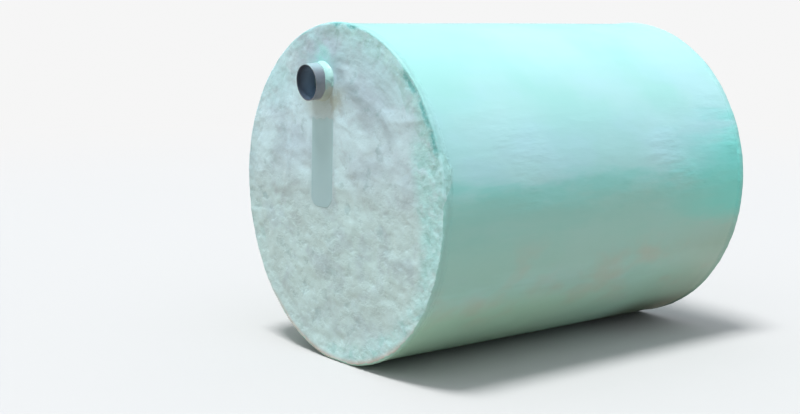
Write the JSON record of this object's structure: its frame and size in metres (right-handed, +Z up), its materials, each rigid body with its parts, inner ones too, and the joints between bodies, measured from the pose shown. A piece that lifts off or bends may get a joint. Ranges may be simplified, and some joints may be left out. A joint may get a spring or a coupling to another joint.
{
  "type": "septic tank",
  "caption": "Horizontal cylindrical septic tank with flat ends, corner bonds and a short off-centre pipe stub and baffle at each end.",
  "frame": {"origin": "centre of the footprint on the ground, midway between the pipe mouths and under the tank's axis", "axes": "+X along the tank's axis from the inlet end to the outlet end, +Y to the side that the pipes are offset to, +Z up"},
  "size_m": [2.0104, 1.5, 1.4959],
  "materials": {
    "gelcoat": "aqua glass-fibre shell, smooth and glossy, slightly wavy",
    "end_laminate": "unpainted chopped-strand laminate, rough and mottled grey-white",
    "corner_mat": "hand-laid mat, rough, tinted aqua at its edge",
    "collar_gelcoat": "bright aqua laminate fillet",
    "smooth_strip": "smooth grey-teal",
    "grey_pipe": "grey drain pipe, satin"
  },
  "bodies": {
    "root": {"shell_segment_01": "gelcoat", "shell_segment_02": "gelcoat", "shell_segment_03": "gelcoat", "shell_segment_04": "gelcoat", "shell_segment_05": "gelcoat", "shell_segment_06": "gelcoat", "shell_segment_07": "gelcoat", "shell_segment_08": "gelcoat", "shell_segment_09": "gelcoat", "shell_segment_10": "gelcoat", "shell_segment_11": "gelcoat", "shell_segment_12": "gelcoat", "shell_segment_13": "gelcoat", "shell_segment_14": "gelcoat", "shell_segment_15": "gelcoat", "shell_segment_16": "gelcoat", "shell_segment_17": "gelcoat", "shell_segment_18": "gelcoat", "shell_segment_19": "gelcoat", "shell_segment_20": "gelcoat", "inlet_end_wall": "end_laminate", "inlet_corner_bond": "corner_mat", "inlet_pipe": "grey_pipe", "inlet_pipe_collar": "collar_gelcoat", "inlet_baffle": "corner_mat", "inlet_baffle_strip": "smooth_strip", "outlet_end_wall": "end_laminate", "outlet_corner_bond": "corner_mat", "outlet_pipe": "grey_pipe", "outlet_pipe_collar": "collar_gelcoat", "outlet_baffle": "corner_mat", "outlet_baffle_strip": "smooth_strip"}
  },
  "joints": []
}
